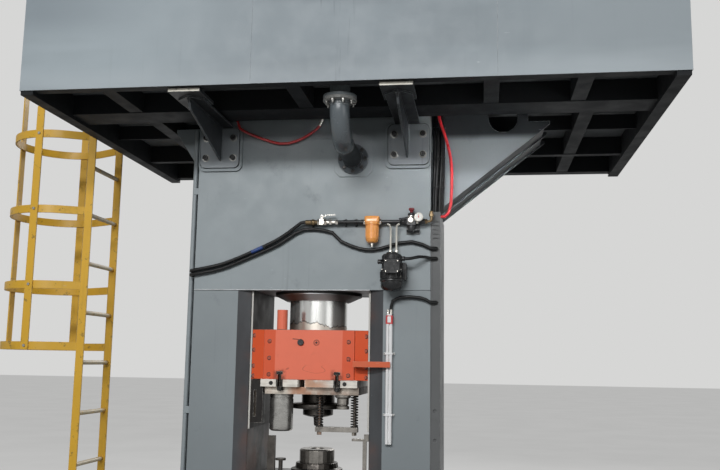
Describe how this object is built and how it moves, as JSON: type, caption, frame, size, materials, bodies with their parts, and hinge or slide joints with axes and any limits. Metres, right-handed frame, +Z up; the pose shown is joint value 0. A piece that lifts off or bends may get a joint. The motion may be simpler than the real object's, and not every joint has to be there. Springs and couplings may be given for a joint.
{
  "type": "hydraulic forging press",
  "caption": "Upright hydraulic forging press with a box frame, orange slide, chrome ram, overhead service platform and caged ladder.",
  "frame": {"origin": "centre of the frame's foot on the floor", "axes": "+Z up, -Y towards the operator's side with the air line, +X away from the ladder"},
  "size_m": [4.122, 2.296, 4.1],
  "materials": {
    "slate_paint": "semi-gloss slate grey paint, worn",
    "dark_paint": "dark grey paint",
    "fascia_paint": "light slate grey paint",
    "orange_paint": "orange paint, oily",
    "chrome": "ground and chromed, greasy",
    "bright_steel": "machined",
    "dark_steel": "hot-work steel, oily",
    "black_plastic": "black",
    "hose_rubber": "matt black",
    "red_plastic": "red",
    "yellow_paint": "yellow paint, chipped",
    "orange_plastic": "orange",
    "brass": "satin",
    "white_paint": "off-white",
    "motor_paint": "dark blue paint"
  },
  "bodies": {
    "press": {"crown": "slate_paint", "left_column": "slate_paint", "right_column": "slate_paint", "bed": "slate_paint", "left_strut": "slate_paint", "right_strut": "slate_paint", "oil_pipe_elbow": "slate_paint", "oil_tank": "slate_paint", "left_bracket": "slate_paint", "right_bracket": "slate_paint", "cable_duct": "slate_paint", "side_conduit": "slate_paint", "platform_frame": "dark_paint", "deck_plate": "dark_paint", "ejector_cylinder": "dark_paint", "hydraulic_pump": "dark_paint", "valve_manifold": "dark_paint", "fascia_left": "fascia_paint", "fascia_centre": "fascia_paint", "fascia_right": "fascia_paint", "left_guide_rail": "bright_steel", "right_guide_rail": "bright_steel", "lower_die": "bright_steel", "main_cylinder": "dark_steel", "bolster_plate": "dark_steel", "lower_die_holder": "dark_steel", "tool_post": "dark_steel", "air_regulator": "black_plastic", "lube_pump": "black_plastic", "air_hose": "hose_rubber", "long_cable": "hose_rubber", "pump_cable": "hose_rubber", "sensor_cable": "hose_rubber", "right_cable_bundle": "hose_rubber", "red_cable": "red_plastic", "red_air_hose": "red_plastic", "ladder": "yellow_paint", "safety_cage": "yellow_paint", "air_filter": "orange_plastic", "ball_valve": "brass", "position_transducer": "white_paint", "tool_bracket": "white_paint", "main_motor": "motor_paint"},
    "slide_unit": {"ram": "chrome", "slide": "orange_paint", "pointer_arm": "orange_paint", "upper_shoe": "bright_steel", "upper_plate": "bright_steel", "left_sleeve": "bright_steel", "upper_die": "dark_steel", "right_punch": "bright_steel", "left_spring": "dark_steel", "right_spring": "dark_steel"},
    "stripper": {"stripper_bar": "bright_steel"},
    "ejector": {"ejector_rod": "chrome"},
    "lever": {"valve_lever": "bright_steel"},
    "knob": {"regulator_knob": "red_plastic"},
    "needle": {"gauge_needle": "red_plastic"},
    "shaft": {"motor_shaft": "bright_steel"}
  },
  "joints": [
    {"name": "slide_travel", "type": "slide", "parent": "press", "child": "slide_unit", "axis": [0, 0, 1], "range_m": [-0.13, 0.11]},
    {"name": "stripper_lift", "type": "slide", "parent": "slide_unit", "child": "stripper", "axis": [0, 0, 1], "range_m": [0, 0.05], "deforming": ["left_spring", "right_spring"]},
    {"name": "ejector_lift", "type": "slide", "parent": "press", "child": "ejector", "axis": [0, 0, 1], "range_m": [0, 0.1]},
    {"name": "valve_lever_turn", "type": "hinge", "parent": "press", "child": "lever", "pos_m": [0.07, -0.326, 2.4263], "axis": [0, 0, 1], "range_deg": [-90, 0]},
    {"name": "regulator_knob_turn", "type": "hinge", "parent": "press", "child": "knob", "pos_m": [0.592, -0.326, 2.4443], "axis": [0, 0, 1], "range_deg": [-540, 540]},
    {"name": "gauge_needle_turn", "type": "hinge", "parent": "press", "child": "needle", "pos_m": [0.636, -0.3738, 2.412], "axis": [0, 1, 0], "range_deg": [0, 270]},
    {"name": "motor_shaft_turn", "type": "hinge", "parent": "press", "child": "shaft", "pos_m": [1.05, 0.62, 3.3946], "axis": [1, 0, 0], "continuous": true}
  ]
}
